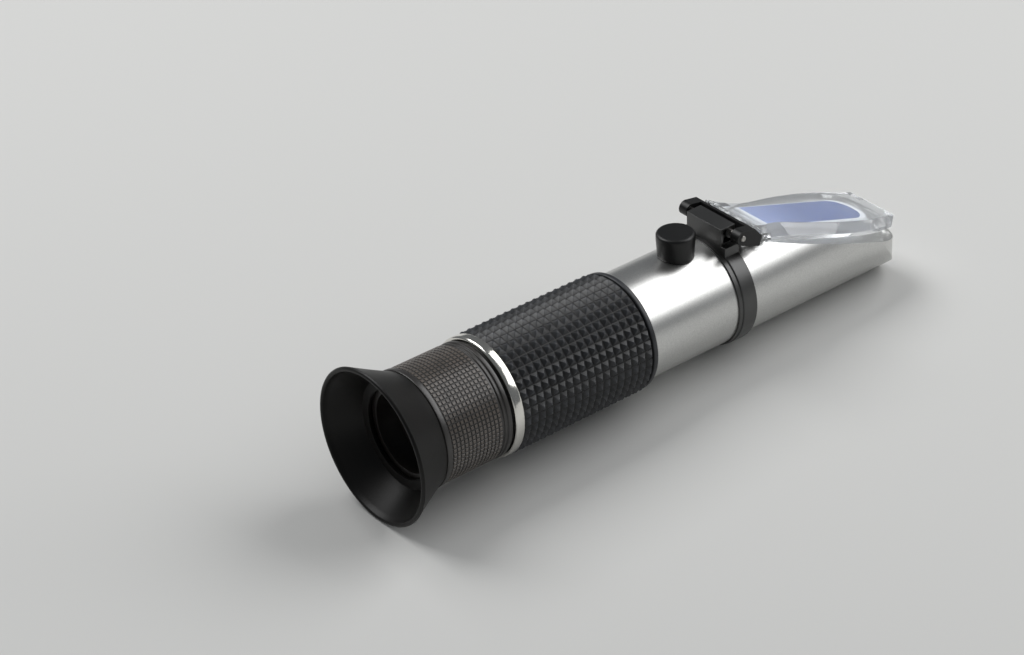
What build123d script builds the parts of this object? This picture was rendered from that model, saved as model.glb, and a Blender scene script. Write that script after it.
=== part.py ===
from build123d import *
from math import cos, radians, sin, sqrt, tan
import os

os.makedirs("parts", exist_ok=True)

# A hand-held coolant refractometer, lying level with its daylight plate closed.
# +X runs along the optical axis from the eyecup to the prism, +Z is up through the
# calibration cap, and the origin is on the axis in the middle of the bare barrel.
# All sizes are in millimetres.

# Clearances
slide_gap = 0.05        # between pieces that turn or slide on each other
seat_gap = 0.05         # between a piece and the face that it rests on

# Barrel, grip and trim
barrel_radius = 13.5
barrel_wall = 1.3
bare_length = 26.2      # silver barrel left visible between the grip and the front collar
grip_length = 40.3
grip_wall = 0.7         # rubber left under the grooves between the studs
stud_height = 0.85
stud_pitch = 2.4        # along the axis
stud_rows = 38          # around the grip
groove_angle = 103.0    # degrees, between the two sides of an axial groove
groove_margin = 0.05    # how far the axial cutters reach past the stud tips
grip_lip = 1.2          # smooth bead at each end of the grip
trim_length = 2.8
trim_step = 1.2         # out from the barrel
trim_round = 0.7

# Front collar, clamp band and prism head
collar_length = 1.1
collar_step = 0.4       # out from the barrel
band_length = 4.4
band_step = 0.65        # out from the barrel
band_round = 0.35
head_step = 0.2         # in from the barrel
head_length = 51.0      # from the band to the nose
head_wall = 3.2         # of the spigot round the light path into the barrel
head_bore_depth = 12.0
spigot_length = 6.0     # part of the head that plugs into the barrel
cut_slope = 18.0        # degrees, of the oblique face that carries the prism
cut_setback = 2.5       # from the band to where that face begins
nose_corner = 9.0       # radius of the nose corners, seen from above

# Prism and the bed that seals it into the head
prism_start = 8.0       # along the oblique face, from where the face begins
prism_length = 37.0
prism_width = 12.4
prism_corner = 5.0      # radius of the prism's two corners towards the nose
prism_depth = 8.0
prism_proud = 0.9
prism_edge = 0.3
bed_wall = 0.6

# Daylight plate. Places run along the oblique face, halves are half widths across it.
plate_lift = 0.05       # above the prism
plate_tail = 1.35
waist_place = 9.0
shoulder_place = 17.0
belly_place = 29.0
corner_place = 42.5
plate_front = 50.4
flange_thickness = 1.0
flange_tail_half = 10.3
flange_waist_half = 9.2
flange_shoulder_half = 9.8
flange_belly_half = 10.8
flange_corner_half = 10.0
flange_nose_half = 7.7
crown_thickness = 2.3
crown_tail_half = 9.8
crown_waist_half = 6.2
crown_shoulder_half = 7.3
crown_belly_half = 9.0
crown_corner_half = 8.7
crown_nose_half = 7.5
tab_reach = 1.8
tab_half = 4.4
tab_thickness = 2.6
tab_round = 1.2

# Hinge of the daylight plate
foot_half = 7.4
foot_height = 1.1       # above the top of the head
block_half = 6.0
block_height = 5.7      # above the top of the head
arm_inner = 7.7         # the yoke's arms stand outside this, beside the block
rim_height = 0.5        # of the block's flat top, over its hollow sides
hollow_depth = 1.4
hollow_margin = 0.7
pin_setback = 3.1       # from the rear edge of the clamp band to the pin
pin_height = 4.0        # from the top of the head to the pin
pin_radius = 0.75
pin_end = 0.25          # of the pin, proud of the yoke

# Yoke that carries the plate on the pin
yoke_half = 10.3
yoke_eye = 1.8          # radius round the pin
yoke_relief = 2.45      # from the pin to the bar's rear face, clear of the block
yoke_lift = 0.45        # from the oblique face to the underside of the yoke's front
yoke_front_height = 3.1 # from the oblique face to the top of the yoke's front face
yoke_crest = 2.9        # from the yoke's front face back to its highest edge
yoke_crest_height = 4.9
yoke_round = 0.3
tongue_inner = 6.0      # two tongues, let into the plate's underside
tongue_width = 2.2
tongue_length = 5.0
tongue_thickness = 1.6
side_screw_place = 2.0  # from the plate's tail
side_screw_rise = 0.45  # from the plate's underside
side_screw_radius = 0.4
side_screw_head = 0.85
side_screw_cap = 0.5
side_screw_length = 3.0
side_screw_wall = 0.3   # of the plate, between a tongue and the screw head

# Calibration screw, its bush and its cap
calibration_place = 5.3
bush_radius = 3.4
bush_height = 2.1       # above the barrel
bush_depth = 2.0        # below the barrel's outside
bush_lip = 0.6          # lip that keeps the screw in
bush_mouth = 1.6
dial_radius = 2.0
shank_radius = 1.2
shank_bite = 2.5        # length of the shank inside the objective cell
slot_width = 0.6
slot_depth = 0.8
cap_radius = 4.7
cap_foot_radius = 4.4
cap_height = 6.0        # above the barrel
cap_round = 0.7
cap_band = 1.6          # plain height of the cap under its rounded edge
cap_room = 0.5          # between the bush and the cap's roof
cap_gap = 0.1           # between the cap's foot and the barrel

# Objective, its sliding cell and their guide
guide_length = 8.0
cell_side_room = 5.2    # from the barrel's bore to the cell's sides
cell_top_room = 3.6     # from the barrel's bore to the cell's top and bottom
cell_length = 4.2
cell_room = 0.5         # free travel above and below the cell
objective_wall = 1.8     # of the cell, beside the lens
objective_dome_height = 1.0
objective_edge = 1.2
seat_step = 0.7
seat_wall = 0.8         # length of the step that a lens rests on
retainer_length = 0.9
window_rim = 1.0        # of the guide and its cover, beside their round windows

# Light baffle in front of the objective
baffle_thickness = 1.0
baffle_half_height = 4.0
baffle_half_width = 6.0

# Eyepiece tube, reticle and lens cell
groove_length = 1.2     # dark groove between the trim ring and the focus ring
washer_step = 0.1       # in from the barrel
eyetube_step = 1.2      # in from the barrel's bore
eyetube_wall = 1.1
eyetube_plug = 7.0
reticle_step = 0.3      # in from the eyepiece tube's bore
reticle_thickness = 1.2
reticle_ring_length = 2.2
reticle_rim = 1.0
eyecell_length = 9.0
eyecell_place = 8.6     # from the focus ring's front edge to the middle of the lens cell
eyecell_wall = 1.5      # from the eyepiece tube's bore to the lens
eyelens_edge = 1.4
eyelens_dome_height = 1.3
fieldlens_edge = 0.8
fieldlens_dome_height = 0.9
lug_size = 3.0
focus_travel = 2.0      # of the lens cell, each way
slot_room = 0.1         # past each end of that travel

# Focus ring and the nut that keeps it on
focus_ring_length = 15.9
focus_ring_step = 0.6    # out from the barrel to the root of the knurl
focus_land = 3.0
thread_step = 0.7       # out from the eyepiece tube
nut_room = 0.1          # between the nut and the ring's shoulder
nut_recess = 2.7        # from the ring's rear end to the front of the nut
rear_spigot_step = 1.1  # in from the focus ring's outside
rear_spigot_length = 3.4
nut_step = 0.4          # out from the ring's thread
nut_length = 2.2
ring_chamfer = 0.35
rib_height = 0.2        # of the plain ribs round the ring's front end
rib_length = 0.35
rib_gap = 0.42
rib_count = 2
front_rib_length = 0.95

# Rubber eyecup
cup_length = 11.4       # from its front edge to the rim
cup_neck_wall = 1.5
cup_neck_length = 2.6
cup_rim_radius = 19.25
cup_rim_wall = 1.2
cup_flange = 0.9
cup_hole_step = 1.1     # in from the nut's outside
cup_sag = 0.35          # how far the flare bends in from a straight cone

# Radii that follow from each other, from the barrel outwards and inwards
barrel_bore = barrel_radius - barrel_wall
grip_radius = barrel_radius + grip_wall
stud_reach = grip_radius + stud_height
trim_radius = barrel_radius + trim_step
collar_radius = barrel_radius + collar_step
band_radius = barrel_radius + band_step
head_radius = barrel_radius - head_step
head_bore = barrel_bore - head_wall
washer_radius = barrel_radius - washer_step
focus_ring_radius = barrel_radius + focus_ring_step
rear_spigot_radius = focus_ring_radius - rear_spigot_step
eyetube_radius = barrel_bore - eyetube_step
eyetube_bore = eyetube_radius - eyetube_wall
reticle_radius = eyetube_bore - reticle_step
reticle_window = reticle_radius - reticle_rim
eyelens_radius = eyetube_bore - eyecell_wall
thread_radius = eyetube_radius + thread_step
nut_radius = thread_radius + nut_step
cup_hole = nut_radius - cup_hole_step
cell_half_width = barrel_bore - cell_side_room
cell_half_height = barrel_bore - cell_top_room
objective_radius = cell_half_width - objective_wall

# Stations along the axis, and heights above it
slope = radians(cut_slope)
grip_front = -bare_length / 2
grip_rear = grip_front - grip_length
barrel_rear = grip_rear - trim_length
ring_front = barrel_rear - groove_length
neck_front = ring_front - focus_ring_length
ring_rear = neck_front - rear_spigot_length
rim_x = neck_front - cup_length
collar_rear = bare_length / 2
band_rear = collar_rear + collar_length
head_rear = band_rear + band_length
head_front = head_rear + head_length
spigot_rear = head_rear - spigot_length
cut_start = head_rear + cut_setback
pin_x = band_rear + pin_setback
pin_z = head_radius + pin_height
foot_top = head_radius + foot_height
block_top = head_radius + block_height

# Planes. The oblique face has its own plane: x down the slope, y across, z out of it.
cut_plane = Plane(
    origin=(cut_start, 0, head_radius),
    x_dir=(cos(slope), 0, -sin(slope)),
    z_dir=(sin(slope), 0, cos(slope)),
)
plate_floor = prism_proud + plate_lift
yoke_plane = Plane(origin=cut_plane.origin, x_dir=cut_plane.x_dir, z_dir=(0, -1, 0))
pin_u = (pin_x - cut_start) * cos(slope) - (pin_z - head_radius) * sin(slope)
pin_v = (pin_x - cut_start) * sin(slope) + (pin_z - head_radius) * cos(slope)


def ring_section(start, end, inner, outer, mode=Mode.ADD):
    """Half section of a plain ring about the optical axis, ready to revolve."""
    with Locations(((start + end) / 2, (inner + outer) / 2)):
        Rectangle(abs(end - start), outer - inner, mode=mode)


def lens_section(middle, radius, clear, edge, bulge):
    """Edges of the half section of a lens: two bulged faces inside a flat rim."""
    reach = (bulge**2 + clear**2) / (2 * bulge)
    rear = middle - edge / 2
    front = middle + edge / 2
    with BuildLine() as section:
        Line((rear - bulge, 0), (front + bulge, 0))
        RadiusArc((front + bulge, 0), (front, clear), -reach)
        Polyline((front, clear), (front, radius), (rear, radius), (rear, clear))
        RadiusArc((rear, clear), (rear - bulge, 0), -reach)
    return section.edges()


def plate_outline(halves):
    """Edges of the daylight plate's outline on the oblique face, from its half widths."""
    places = (plate_tail, waist_place, shoulder_place, belly_place, corner_place)
    with BuildLine() as outline:
        side = Spline(*zip(places, halves))
        corner = Line(side @ 1, (plate_front, halves[-1]))
        Line(corner @ 1, (plate_front, 0))
        Line((plate_tail, 0), side @ 0)
        mirror(about=Plane.XZ)
    return outline.edges()


def prism_plan(margin):
    """Plan of the prism in the current sketch, grown by a margin, with rounded front corners."""
    long_side = prism_length + 2 * margin
    short_side = prism_width + 2 * margin
    corner = prism_corner + margin
    rear = prism_start - margin
    with Locations((rear + (long_side - corner) / 2, 0)):
        Rectangle(long_side - corner, short_side)
    with Locations((rear + long_side - corner / 2, 0)):
        Rectangle(corner, short_side - 2 * corner)
    with Locations(
        (rear + long_side - corner, short_side / 2 - corner),
        (rear + long_side - corner, corner - short_side / 2),
    ):
        Circle(corner)


def finish(builder, name):
    """Label a finished piece and write its file."""
    builder.part.label = name
    export_step(builder.part, f"parts/{name}.step")


# Barrel tube, with the hole for the calibration bush
with BuildPart() as main_tube:
    with BuildSketch(Plane.XZ):
        ring_section(barrel_rear, head_rear, barrel_bore, barrel_radius)
    revolve(axis=Axis.X)
    with BuildSketch(Plane.XY):
        with Locations((calibration_place, 0)):
            Circle(bush_radius)
    extrude(amount=barrel_radius, mode=Mode.SUBTRACT)
finish(main_tube, "main_tube")

# Rubber grip: ring grooves from the turned profile, then axial grooves leave square studs
stud_zone = grip_length - 2 * grip_lip
stud_columns = round(stud_zone / stud_pitch)
column_pitch = stud_zone / stud_columns
groove_reach = stud_reach + groove_margin
groove_half = (groove_reach - grip_radius) * tan(radians(groove_angle / 2))
with BuildPart() as rubber_grip:
    with BuildSketch(Plane.XZ):
        with BuildLine():
            profile = [(grip_rear, barrel_radius), (grip_rear, stud_reach)]
            profile.append((grip_rear + grip_lip / 2, stud_reach))
            for column in range(stud_columns):
                groove_x = grip_rear + grip_lip + column * column_pitch
                profile.append((groove_x, grip_radius))
                profile.append((groove_x + column_pitch / 2, stud_reach))
            profile.append((grip_front - grip_lip, grip_radius))
            profile.append((grip_front - grip_lip / 2, stud_reach))
            profile.append((grip_front, stud_reach))
            profile.append((grip_front, barrel_radius))
            Polyline(*profile, close=True)
        make_face()
    revolve(axis=Axis.X)
    with BuildSketch(Plane.YZ.offset(grip_rear + grip_lip)):
        with PolarLocations(grip_radius, stud_rows):
            Polygon(
                (0, 0),
                (groove_reach - grip_radius, -groove_half),
                (groove_reach - grip_radius, groove_half),
                align=None,
            )
    extrude(amount=stud_zone, mode=Mode.SUBTRACT)
finish(rubber_grip, "rubber_grip")

# Chrome trim ring behind the grip
with BuildPart() as trim_ring:
    with BuildSketch(Plane.XZ) as trim_section:
        ring_section(barrel_rear, grip_rear, barrel_radius, trim_radius)
        fillet(trim_section.vertices().group_by(Axis.Y)[-1], trim_round)
    revolve(axis=Axis.X)
finish(trim_ring, "trim_ring")

# Front collar
with BuildPart() as front_collar:
    with BuildSketch(Plane.XZ):
        ring_section(collar_rear, band_rear, barrel_radius, collar_radius)
    revolve(axis=Axis.X)
finish(front_collar, "front_collar")

# Hinge collar: the clamp band with the hinge's foot and its block in one, hollow at the sides
block_sill = foot_top + hollow_margin
block_lintel = block_top - rim_height
with BuildPart() as hinge_collar:
    with BuildSketch(Plane.XZ) as band_section:
        ring_section(band_rear, head_rear, 0, band_radius)
        fillet(band_section.vertices().group_by(Axis.Y)[-1], band_round)
    revolve(axis=Axis.X)
    with BuildSketch(Plane.YZ.offset(band_rear)):
        with Locations((0, foot_top / 2)):
            Rectangle(2 * foot_half, foot_top)
        with Locations((0, block_top / 2)):
            Rectangle(2 * block_half, block_top)
    extrude(amount=band_length)
    with BuildSketch(Plane.YZ.offset(band_rear)):
        Circle(barrel_radius)
    extrude(amount=band_length, mode=Mode.SUBTRACT)
    for side in (-1, 1):
        with BuildSketch(Plane.XZ.offset(side * block_half)):
            with BuildLine():
                Polyline(
                    (band_rear + hollow_margin, block_sill),
                    (band_rear + hollow_margin, block_lintel),
                    (pin_x - pin_radius, block_lintel),
                    (head_rear - hollow_margin, block_sill),
                    close=True,
                )
            make_face()
            with Locations((pin_x, pin_z)):
                Circle(pin_radius + hollow_margin, mode=Mode.SUBTRACT)
        extrude(amount=-side * hollow_depth, mode=Mode.SUBTRACT)
    with BuildSketch(Plane.XZ):
        with Locations((pin_x, pin_z)):
            Circle(pin_radius)
    extrude(amount=block_half, both=True, mode=Mode.SUBTRACT)
finish(hinge_collar, "hinge_collar")

# Hinge pin, pressed into the block, with domed ends that show outside the yoke
with BuildPart() as hinge_pin:
    with BuildSketch(Plane.XZ):
        with Locations((pin_x, pin_z)):
            Circle(pin_radius)
    extrude(amount=yoke_half + pin_end, both=True)
    fillet(hinge_pin.edges().filter_by(GeomType.CIRCLE), pin_end)
finish(hinge_pin, "hinge_pin")

# Prism head: a round bar cut obliquely on top, with a bed for the prism, a light path
# and a spigot that plugs into the barrel
bed_depth = prism_depth - prism_proud + bed_wall
with BuildPart() as prism_head:
    with BuildSketch(Plane.XZ):
        ring_section(spigot_rear, head_rear, 0, barrel_bore)
        ring_section(head_rear, head_front, 0, head_radius)
    revolve(axis=Axis.X)
    with BuildSketch(Plane.XY.offset(-head_radius)) as nose_plan:
        with Locations(((spigot_rear + head_front) / 2, 0)):
            Rectangle(head_front - spigot_rear, 2 * head_radius)
        fillet(nose_plan.vertices().group_by(Axis.X)[-1], nose_corner)
    extrude(amount=2 * head_radius, mode=Mode.INTERSECT)
    split(bisect_by=cut_plane, keep=Keep.BOTTOM)
    with BuildSketch(cut_plane):
        prism_plan(bed_wall)
    extrude(amount=-bed_depth, mode=Mode.SUBTRACT)
    with BuildSketch(Plane.YZ.offset(spigot_rear)):
        Circle(head_bore)
    extrude(amount=spigot_length + head_bore_depth, mode=Mode.SUBTRACT)
finish(prism_head, "prism_head")

# Measuring prism, proud of the oblique face, with the edges of its upper face broken
with BuildPart() as measuring_prism:
    with BuildSketch(cut_plane.offset(prism_proud - prism_depth)):
        prism_plan(0)
    extrude(amount=prism_depth)
    upper_face = measuring_prism.faces().sort_by(Axis(cut_plane.origin, cut_plane.z_dir))[-1]
    chamfer(upper_face.edges(), prism_edge)
finish(measuring_prism, "measuring_prism")

# Gasket: the sealing bed between the prism and the head, open towards the barrel
with BuildPart() as prism_gasket:
    with BuildSketch(cut_plane):
        prism_plan(bed_wall)
    extrude(amount=-bed_depth)
    with BuildSketch(cut_plane):
        prism_plan(0)
    extrude(amount=-(prism_depth - prism_proud), mode=Mode.SUBTRACT)
    with BuildSketch(Plane.YZ.offset(spigot_rear)):
        Circle(head_bore)
    extrude(amount=spigot_length + head_bore_depth, mode=Mode.SUBTRACT)
finish(prism_gasket, "prism_gasket")

# Daylight plate: a thin flange, a crown with slanted sides, a finger tab at the nose and
# two pockets underneath for the yoke's tongues
plate_top = plate_floor + flange_thickness + crown_thickness
flange_halves = (
    flange_tail_half,
    flange_waist_half,
    flange_shoulder_half,
    flange_belly_half,
    flange_corner_half,
    flange_nose_half,
)
crown_halves = (
    crown_tail_half,
    crown_waist_half,
    crown_shoulder_half,
    crown_belly_half,
    crown_corner_half,
    crown_nose_half,
)
tongue_middle = tongue_inner + tongue_width / 2
tongue_tip = plate_tail + tongue_length
screw_seat = tongue_inner + tongue_width + side_screw_wall
screw_plane = Plane(
    origin=cut_plane.from_local_coords(
        (plate_tail + side_screw_place, 0, plate_floor + side_screw_rise)
    ),
    x_dir=cut_plane.x_dir,
    z_dir=(0, 1, 0),
)
with BuildPart() as daylight_plate:
    with BuildSketch(cut_plane.offset(plate_floor)):
        make_face(plate_outline(flange_halves))
    extrude(amount=flange_thickness)
    with BuildSketch(cut_plane.offset(plate_floor + flange_thickness)):
        make_face(plate_outline(flange_halves))
    with BuildSketch(cut_plane.offset(plate_top)):
        make_face(plate_outline(crown_halves))
    loft(ruled=True)
    with BuildSketch(cut_plane.offset(plate_floor)) as tab_plan:
        with Locations((plate_front, 0)):
            Rectangle(2 * tab_reach, 2 * tab_half)
        fillet(tab_plan.vertices().group_by(Axis.X)[-1], tab_round)
    extrude(amount=tab_thickness)
    with BuildSketch(cut_plane.offset(plate_floor)):
        with Locations(*[(plate_tail + tongue_length / 2, side * tongue_middle) for side in (-1, 1)]):
            Rectangle(tongue_length, tongue_width)
    extrude(amount=tongue_thickness, mode=Mode.SUBTRACT)
    with BuildSketch(screw_plane):
        Circle(side_screw_radius)
    extrude(amount=flange_tail_half, both=True, mode=Mode.SUBTRACT)
    for side in (-1, 1):
        with BuildSketch(screw_plane.offset(side * screw_seat)):
            Circle(side_screw_head)
        extrude(amount=side * (flange_tail_half - screw_seat), mode=Mode.SUBTRACT)
finish(daylight_plate, "daylight_plate")

# Plate yoke: two arms on the pin, a bar that joins them in front of the block, and two
# tongues let into the plate's tail
yoke_front = plate_tail - seat_gap
with BuildPart() as plate_yoke:
    with BuildSketch(yoke_plane) as yoke_section:
        with BuildLine():
            Polyline(
                (pin_u, pin_v - yoke_eye),
                (pin_u, pin_v + yoke_eye),
                (yoke_front - yoke_crest, yoke_crest_height),
                (yoke_front, yoke_front_height),
                (yoke_front, yoke_lift),
                close=True,
            )
        make_face()
        fillet(yoke_section.vertices().group_by(Axis.X)[-1], yoke_round)
        with Locations((pin_u, pin_v)):
            Circle(yoke_eye)
    extrude(amount=yoke_half, both=True)
    with BuildSketch(yoke_plane):
        with Locations((pin_u, pin_v)):
            Rectangle(2 * yoke_relief, 4 * yoke_relief)
    extrude(amount=arm_inner, both=True, mode=Mode.SUBTRACT)
    with BuildSketch(cut_plane.offset(plate_floor)):
        for side in (-1, 1):
            with Locations(((yoke_front + tongue_tip) / 2, side * tongue_middle)):
                Rectangle(tongue_tip - yoke_front, tongue_width - 2 * seat_gap)
    extrude(amount=tongue_thickness - seat_gap)
    with BuildSketch(yoke_plane):
        with Locations((pin_u, pin_v)):
            Circle(pin_radius + slide_gap)
    extrude(amount=yoke_half, both=True, mode=Mode.SUBTRACT)
    with BuildSketch(screw_plane):
        Circle(side_screw_radius)
    extrude(amount=tongue_inner + tongue_width, both=True, mode=Mode.SUBTRACT)
finish(plate_yoke, "plate_yoke")

# Two side screws through the plate's tail into the tongues
with BuildPart() as plate_screws:
    for side in (-1, 1):
        with BuildSketch(screw_plane.offset(side * screw_seat)):
            Circle(side_screw_head)
        extrude(amount=side * side_screw_cap)
        with BuildSketch(screw_plane.offset(side * screw_seat)):
            Circle(side_screw_radius)
        extrude(amount=-side * side_screw_length)
finish(plate_screws, "plate_screws")

# Bush over the calibration screw, screwed into the top of the barrel
bush_top = barrel_radius + bush_height
bush_foot = barrel_radius - bush_depth
with BuildPart() as screw_bush:
    with BuildSketch(Plane.XY.offset(bush_foot)):
        with Locations((calibration_place, 0)):
            Circle(bush_radius)
    extrude(amount=bush_top - bush_foot)
    chamfer(screw_bush.faces().sort_by(Axis.Z)[-1].edges(), ring_chamfer)
    with BuildSketch(Plane.XY.offset(bush_foot)):
        with Locations((calibration_place, 0)):
            Circle(dial_radius + slide_gap)
    extrude(amount=bush_top - bush_lip - bush_foot, mode=Mode.SUBTRACT)
    with BuildSketch(Plane.XY.offset(bush_foot)):
        with Locations((calibration_place, 0)):
            Circle(bush_mouth)
    extrude(amount=bush_top - bush_foot, mode=Mode.SUBTRACT)
finish(screw_bush, "screw_bush")

# Calibration screw: a slotted head kept between the guide and the bush's lip, and a shank
dial_foot = bush_foot + seat_gap
dial_top = bush_top - bush_lip - seat_gap
screw_tip = cell_half_height - shank_bite
with BuildPart() as calibration_screw:
    with BuildSketch(Plane.XY.offset(dial_foot)):
        with Locations((calibration_place, 0)):
            Circle(dial_radius)
    extrude(amount=dial_top - dial_foot)
    with BuildSketch(Plane.XY.offset(screw_tip)):
        with Locations((calibration_place, 0)):
            Circle(shank_radius)
    extrude(amount=dial_foot - screw_tip)
    with BuildSketch(Plane.XY.offset(dial_top - slot_depth)):
        with Locations((calibration_place, 0)):
            Rectangle(slot_width, 2 * dial_radius)
    extrude(amount=slot_depth, mode=Mode.SUBTRACT)
finish(calibration_screw, "calibration_screw")

# Rubber calibration cap: a pull-off cap whose foot follows the barrel
cap_top = barrel_radius + cap_height
with BuildPart() as calibration_cap:
    with BuildSketch(Plane.XZ) as cap_section:
        with BuildLine():
            Polyline(
                (calibration_place, 0),
                (calibration_place + cap_foot_radius, 0),
                (calibration_place + cap_foot_radius, barrel_radius),
                (calibration_place + cap_radius, cap_top - cap_band),
                (calibration_place + cap_radius, cap_top),
                (calibration_place, cap_top),
                close=True,
            )
        make_face()
        fillet(cap_section.vertices().group_by(Axis.Y)[-1].sort_by(Axis.X)[-1], cap_round)
    revolve(axis=Axis((calibration_place, 0, 0), (0, 0, 1)))
    with BuildSketch(Plane.XY):
        with Locations((calibration_place, 0)):
            Circle(bush_radius + slide_gap)
    extrude(amount=bush_top + cap_room, mode=Mode.SUBTRACT)
    with BuildSketch(Plane.YZ.offset(calibration_place)):
        Circle(barrel_radius + cap_gap)
    extrude(amount=cap_radius, both=True, mode=Mode.SUBTRACT)
finish(calibration_cap, "calibration_cap")

# Guide of the objective cell: a plug in the barrel with a pocket, closed by a cover
guide_rear = calibration_place - guide_length / 2
guide_front = calibration_place + guide_length / 2
pocket_rear = calibration_place - cell_length / 2 - slide_gap
pocket_front = calibration_place + cell_length / 2 + slide_gap
pocket_width = 2 * (cell_half_width + slide_gap)
pocket_height = 2 * (cell_half_height + cell_room)
guide_window = cell_half_width - window_rim
with BuildPart() as cell_guide:
    with BuildSketch(Plane.YZ.offset(guide_rear)):
        Circle(barrel_bore)
    extrude(amount=guide_length)
    with BuildSketch(Plane.YZ.offset(pocket_rear)):
        Rectangle(pocket_width, pocket_height)
    extrude(amount=guide_front - pocket_rear, mode=Mode.SUBTRACT)
    with BuildSketch(Plane.YZ.offset(guide_rear)):
        Circle(guide_window)
    extrude(amount=guide_length, mode=Mode.SUBTRACT)
    with BuildSketch(Plane.XY.offset(bush_foot)):
        with Locations((calibration_place, 0)):
            Circle(bush_radius)
    extrude(amount=bush_depth, mode=Mode.SUBTRACT)
    with BuildSketch(Plane.XY):
        with Locations((calibration_place, 0)):
            Circle(shank_radius + slide_gap)
    extrude(amount=bush_foot, mode=Mode.SUBTRACT)
finish(cell_guide, "cell_guide")

with BuildPart() as guide_cover:
    with BuildSketch(Plane.YZ.offset(pocket_front)):
        Rectangle(pocket_width, pocket_height)
        Circle(guide_window, mode=Mode.SUBTRACT)
    extrude(amount=guide_front - pocket_front)
finish(guide_cover, "guide_cover")

# Objective cell: slides up and down in the pocket on the calibration screw
cell_rear = calibration_place - cell_length / 2
cell_front = calibration_place + cell_length / 2
objective_seat = cell_rear + seat_wall
with BuildPart() as objective_cell:
    with BuildSketch(Plane.YZ.offset(cell_rear)):
        Rectangle(2 * cell_half_width, 2 * cell_half_height)
        Circle(objective_radius - seat_step, mode=Mode.SUBTRACT)
    extrude(amount=cell_length)
    with BuildSketch(Plane.YZ.offset(objective_seat)):
        Circle(objective_radius)
    extrude(amount=cell_front - objective_seat, mode=Mode.SUBTRACT)
    with BuildSketch(Plane.XY.offset(screw_tip - cell_room)):
        with Locations((calibration_place, 0)):
            Circle(shank_radius + slide_gap)
    extrude(amount=shank_bite + cell_room, mode=Mode.SUBTRACT)
finish(objective_cell, "objective_cell")

with BuildPart() as objective_lens:
    with BuildSketch(Plane.XZ):
        lens_middle = objective_seat + objective_edge / 2
        objective_clear = objective_radius - seat_step
        make_face(
            lens_section(
                lens_middle, objective_radius, objective_clear, objective_edge, objective_dome_height
            )
        )
    revolve(axis=Axis.X)
finish(objective_lens, "objective_lens")

retainer_rear = objective_seat + objective_edge
with BuildPart() as objective_retainer:
    with BuildSketch(Plane.XZ):
        ring_section(
            retainer_rear,
            retainer_rear + retainer_length,
            objective_radius - seat_step,
            objective_radius,
        )
    revolve(axis=Axis.X)
finish(objective_retainer, "objective_retainer")

# Light baffle in front of the guide
with BuildPart() as light_baffle:
    with BuildSketch(Plane.YZ.offset(guide_front)):
        Circle(barrel_bore)
        Rectangle(2 * baffle_half_width, 2 * baffle_half_height, mode=Mode.SUBTRACT)
    extrude(amount=baffle_thickness)
finish(light_baffle, "light_baffle")

# Eyepiece tube: a plug in the barrel, and a tube with two slots for the lens cell's lugs
plug_front = barrel_rear + eyetube_plug
nut_front = ring_rear + nut_recess
eyetube_rear = nut_front - nut_length
eyecell_middle = ring_front - eyecell_place
lug_slot = lug_size + 2 * (focus_travel + slot_room)
with BuildPart() as eyepiece_tube:
    with BuildSketch(Plane.XZ):
        ring_section(barrel_rear, plug_front, eyetube_bore, barrel_bore)
        ring_section(eyetube_rear, barrel_rear, eyetube_bore, eyetube_radius)
    revolve(axis=Axis.X)
    with BuildSketch(Plane.XZ):
        with Locations((eyecell_middle, 0)):
            Rectangle(lug_slot, lug_size + 2 * slide_gap)
    extrude(amount=eyetube_radius, both=True, mode=Mode.SUBTRACT)
finish(eyepiece_tube, "eyepiece_tube")

# Reticle disc in its ring, in front of the eyepiece tube
with BuildPart() as reticle_ring:
    with BuildSketch(Plane.XZ):
        ring_section(plug_front, plug_front + reticle_ring_length, reticle_window, barrel_bore)
        ring_section(
            plug_front,
            plug_front + reticle_thickness,
            reticle_window,
            reticle_radius,
            mode=Mode.SUBTRACT,
        )
    revolve(axis=Axis.X)
finish(reticle_ring, "reticle_ring")

with BuildPart() as reticle_disc:
    with BuildSketch(Plane.XZ):
        ring_section(plug_front, plug_front + reticle_thickness, 0, reticle_radius)
    revolve(axis=Axis.X)
finish(reticle_disc, "reticle_disc")

# Friction washer in the groove behind the trim ring
with BuildPart() as friction_washer:
    with BuildSketch(Plane.XZ):
        ring_section(ring_front + seat_gap, barrel_rear, eyetube_radius, washer_radius)
    revolve(axis=Axis.X)
finish(friction_washer, "friction_washer")

# Focus ring: turns on the eyepiece tube and is kept on by the nut behind its shoulder
focus_land_bore = eyetube_radius + slide_gap
rib_radius = focus_ring_radius + rib_height
with BuildPart() as focus_ring:
    with BuildSketch(Plane.XZ) as focus_section:
        ring_section(neck_front, ring_front, thread_radius, focus_ring_radius)
        chamfer(focus_section.vertices().group_by(Axis.X)[0].sort_by(Axis.Y)[-1], ring_chamfer)
        ring_section(ring_front - front_rib_length, ring_front, focus_land_bore, rib_radius)
        chamfer(focus_section.vertices().group_by(Axis.X)[-1].sort_by(Axis.Y)[-1], rib_height)
        for rib in range(rib_count):
            rib_front = ring_front - front_rib_length - rib_gap - rib * (rib_length + rib_gap)
            ring_section(rib_front - rib_length, rib_front, thread_radius, rib_radius)
        ring_section(ring_rear, neck_front, thread_radius, rear_spigot_radius)
        ring_section(ring_front - focus_land, ring_front, focus_land_bore, thread_radius)
        ring_section(
            ring_rear,
            nut_front + nut_room,
            thread_radius,
            nut_radius + slide_gap,
            mode=Mode.SUBTRACT,
        )
    revolve(axis=Axis.X)
finish(focus_ring, "focus_ring")

with BuildPart() as retaining_nut:
    with BuildSketch(Plane.XZ):
        ring_section(eyetube_rear, nut_front, eyetube_radius, nut_radius)
    revolve(axis=Axis.X)
finish(retaining_nut, "retaining_nut")

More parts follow.
